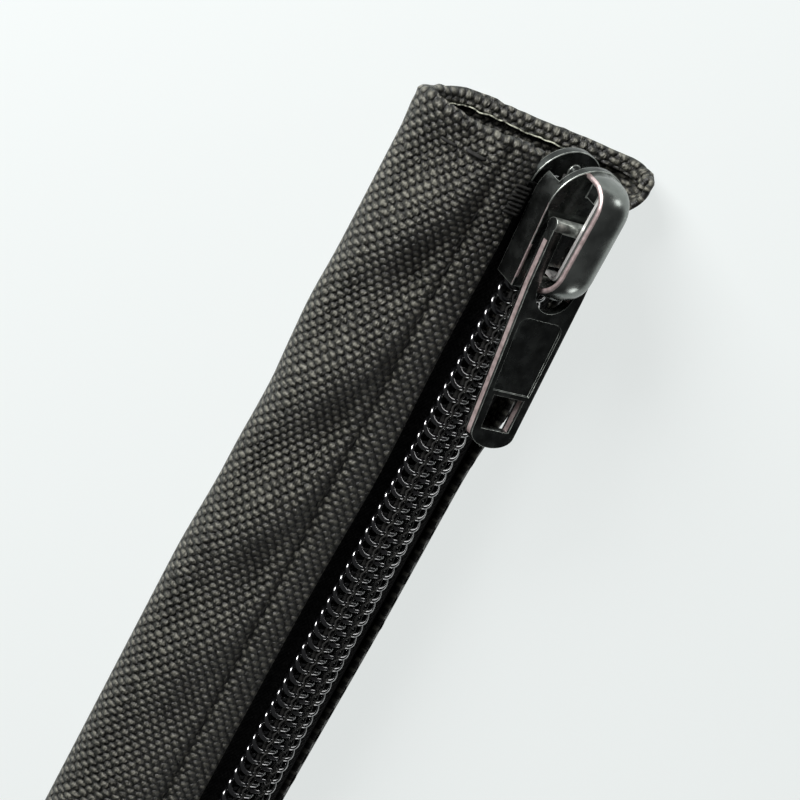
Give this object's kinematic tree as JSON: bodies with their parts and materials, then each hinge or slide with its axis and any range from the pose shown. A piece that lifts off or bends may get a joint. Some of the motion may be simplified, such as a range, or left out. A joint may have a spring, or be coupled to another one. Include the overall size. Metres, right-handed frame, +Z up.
{
  "type": "zippered cable sleeve",
  "caption": "Flat woven sleeve that wraps round a bundle of cables and closes along one side with a coil zipper.",
  "frame": {"origin": "on the underside of the back panel, half way along the sleeve", "axes": "+Y along the sleeve to the mouth, +X to the zipper's side, +Z up from the back panel"},
  "size_m": [0.0252, 0.25, 0.0156],
  "materials": {
    "sleeve_fabric": "coarse weave",
    "zipper_tape": "fine weave",
    "zipper_coil": "gloss",
    "filler_cord": "twisted yarn",
    "sewing_thread": "twisted thread",
    "slider_metal": "gloss black",
    "spring_steel": "bright"
  },
  "bodies": {
    "sleeve": {"sleeve_panel": "sleeve_fabric", "zipper_tape_left": "zipper_tape", "zipper_tape_right": "zipper_tape", "zipper_coil_left": "zipper_coil", "zipper_coil_right": "zipper_coil", "coil_core_left": "filler_cord", "coil_core_right": "filler_cord", "coil_stitch_left": "sewing_thread", "coil_stitch_right": "sewing_thread", "seam_thread_front": "sewing_thread", "seam_thread_back": "sewing_thread", "hem_thread_mouth": "sewing_thread", "hem_thread_foot": "sewing_thread", "bartack_mouth_front": "sewing_thread", "bartack_mouth_back": "sewing_thread", "bartack_foot": "sewing_thread"},
    "slider": {"slider_body": "slider_metal", "slider_crown": "slider_metal"},
    "lock": {"lock_spring": "spring_steel"},
    "tab": {"pull_tab": "slider_metal"}
  },
  "joints": [
    {"name": "slider_slide", "type": "slide", "parent": "sleeve", "child": "slider", "axis": [0, -1, 0], "range_m": [0, 0.2258], "deforming": ["zipper_coil_left", "zipper_coil_right"]},
    {"name": "pull_tab_swing", "type": "hinge", "parent": "slider", "child": "tab", "pos_m": [0.00816, 0.1184, 0.01047], "axis": [-0.9058, 0.0349, 0.4224], "range_deg": [-8, 156]},
    {"name": "lock_spring_lift", "type": "hinge", "parent": "slider", "child": "lock", "pos_m": [0.00859, 0.12336, 0.0114], "axis": [-0.9063, 0, 0.4226], "range_deg": [-0.2, 3.2]}
  ],
  "couplings": [
    {"joint": "lock_spring_lift", "follows": "pull_tab_swing", "ratio": 0.02}
  ]
}
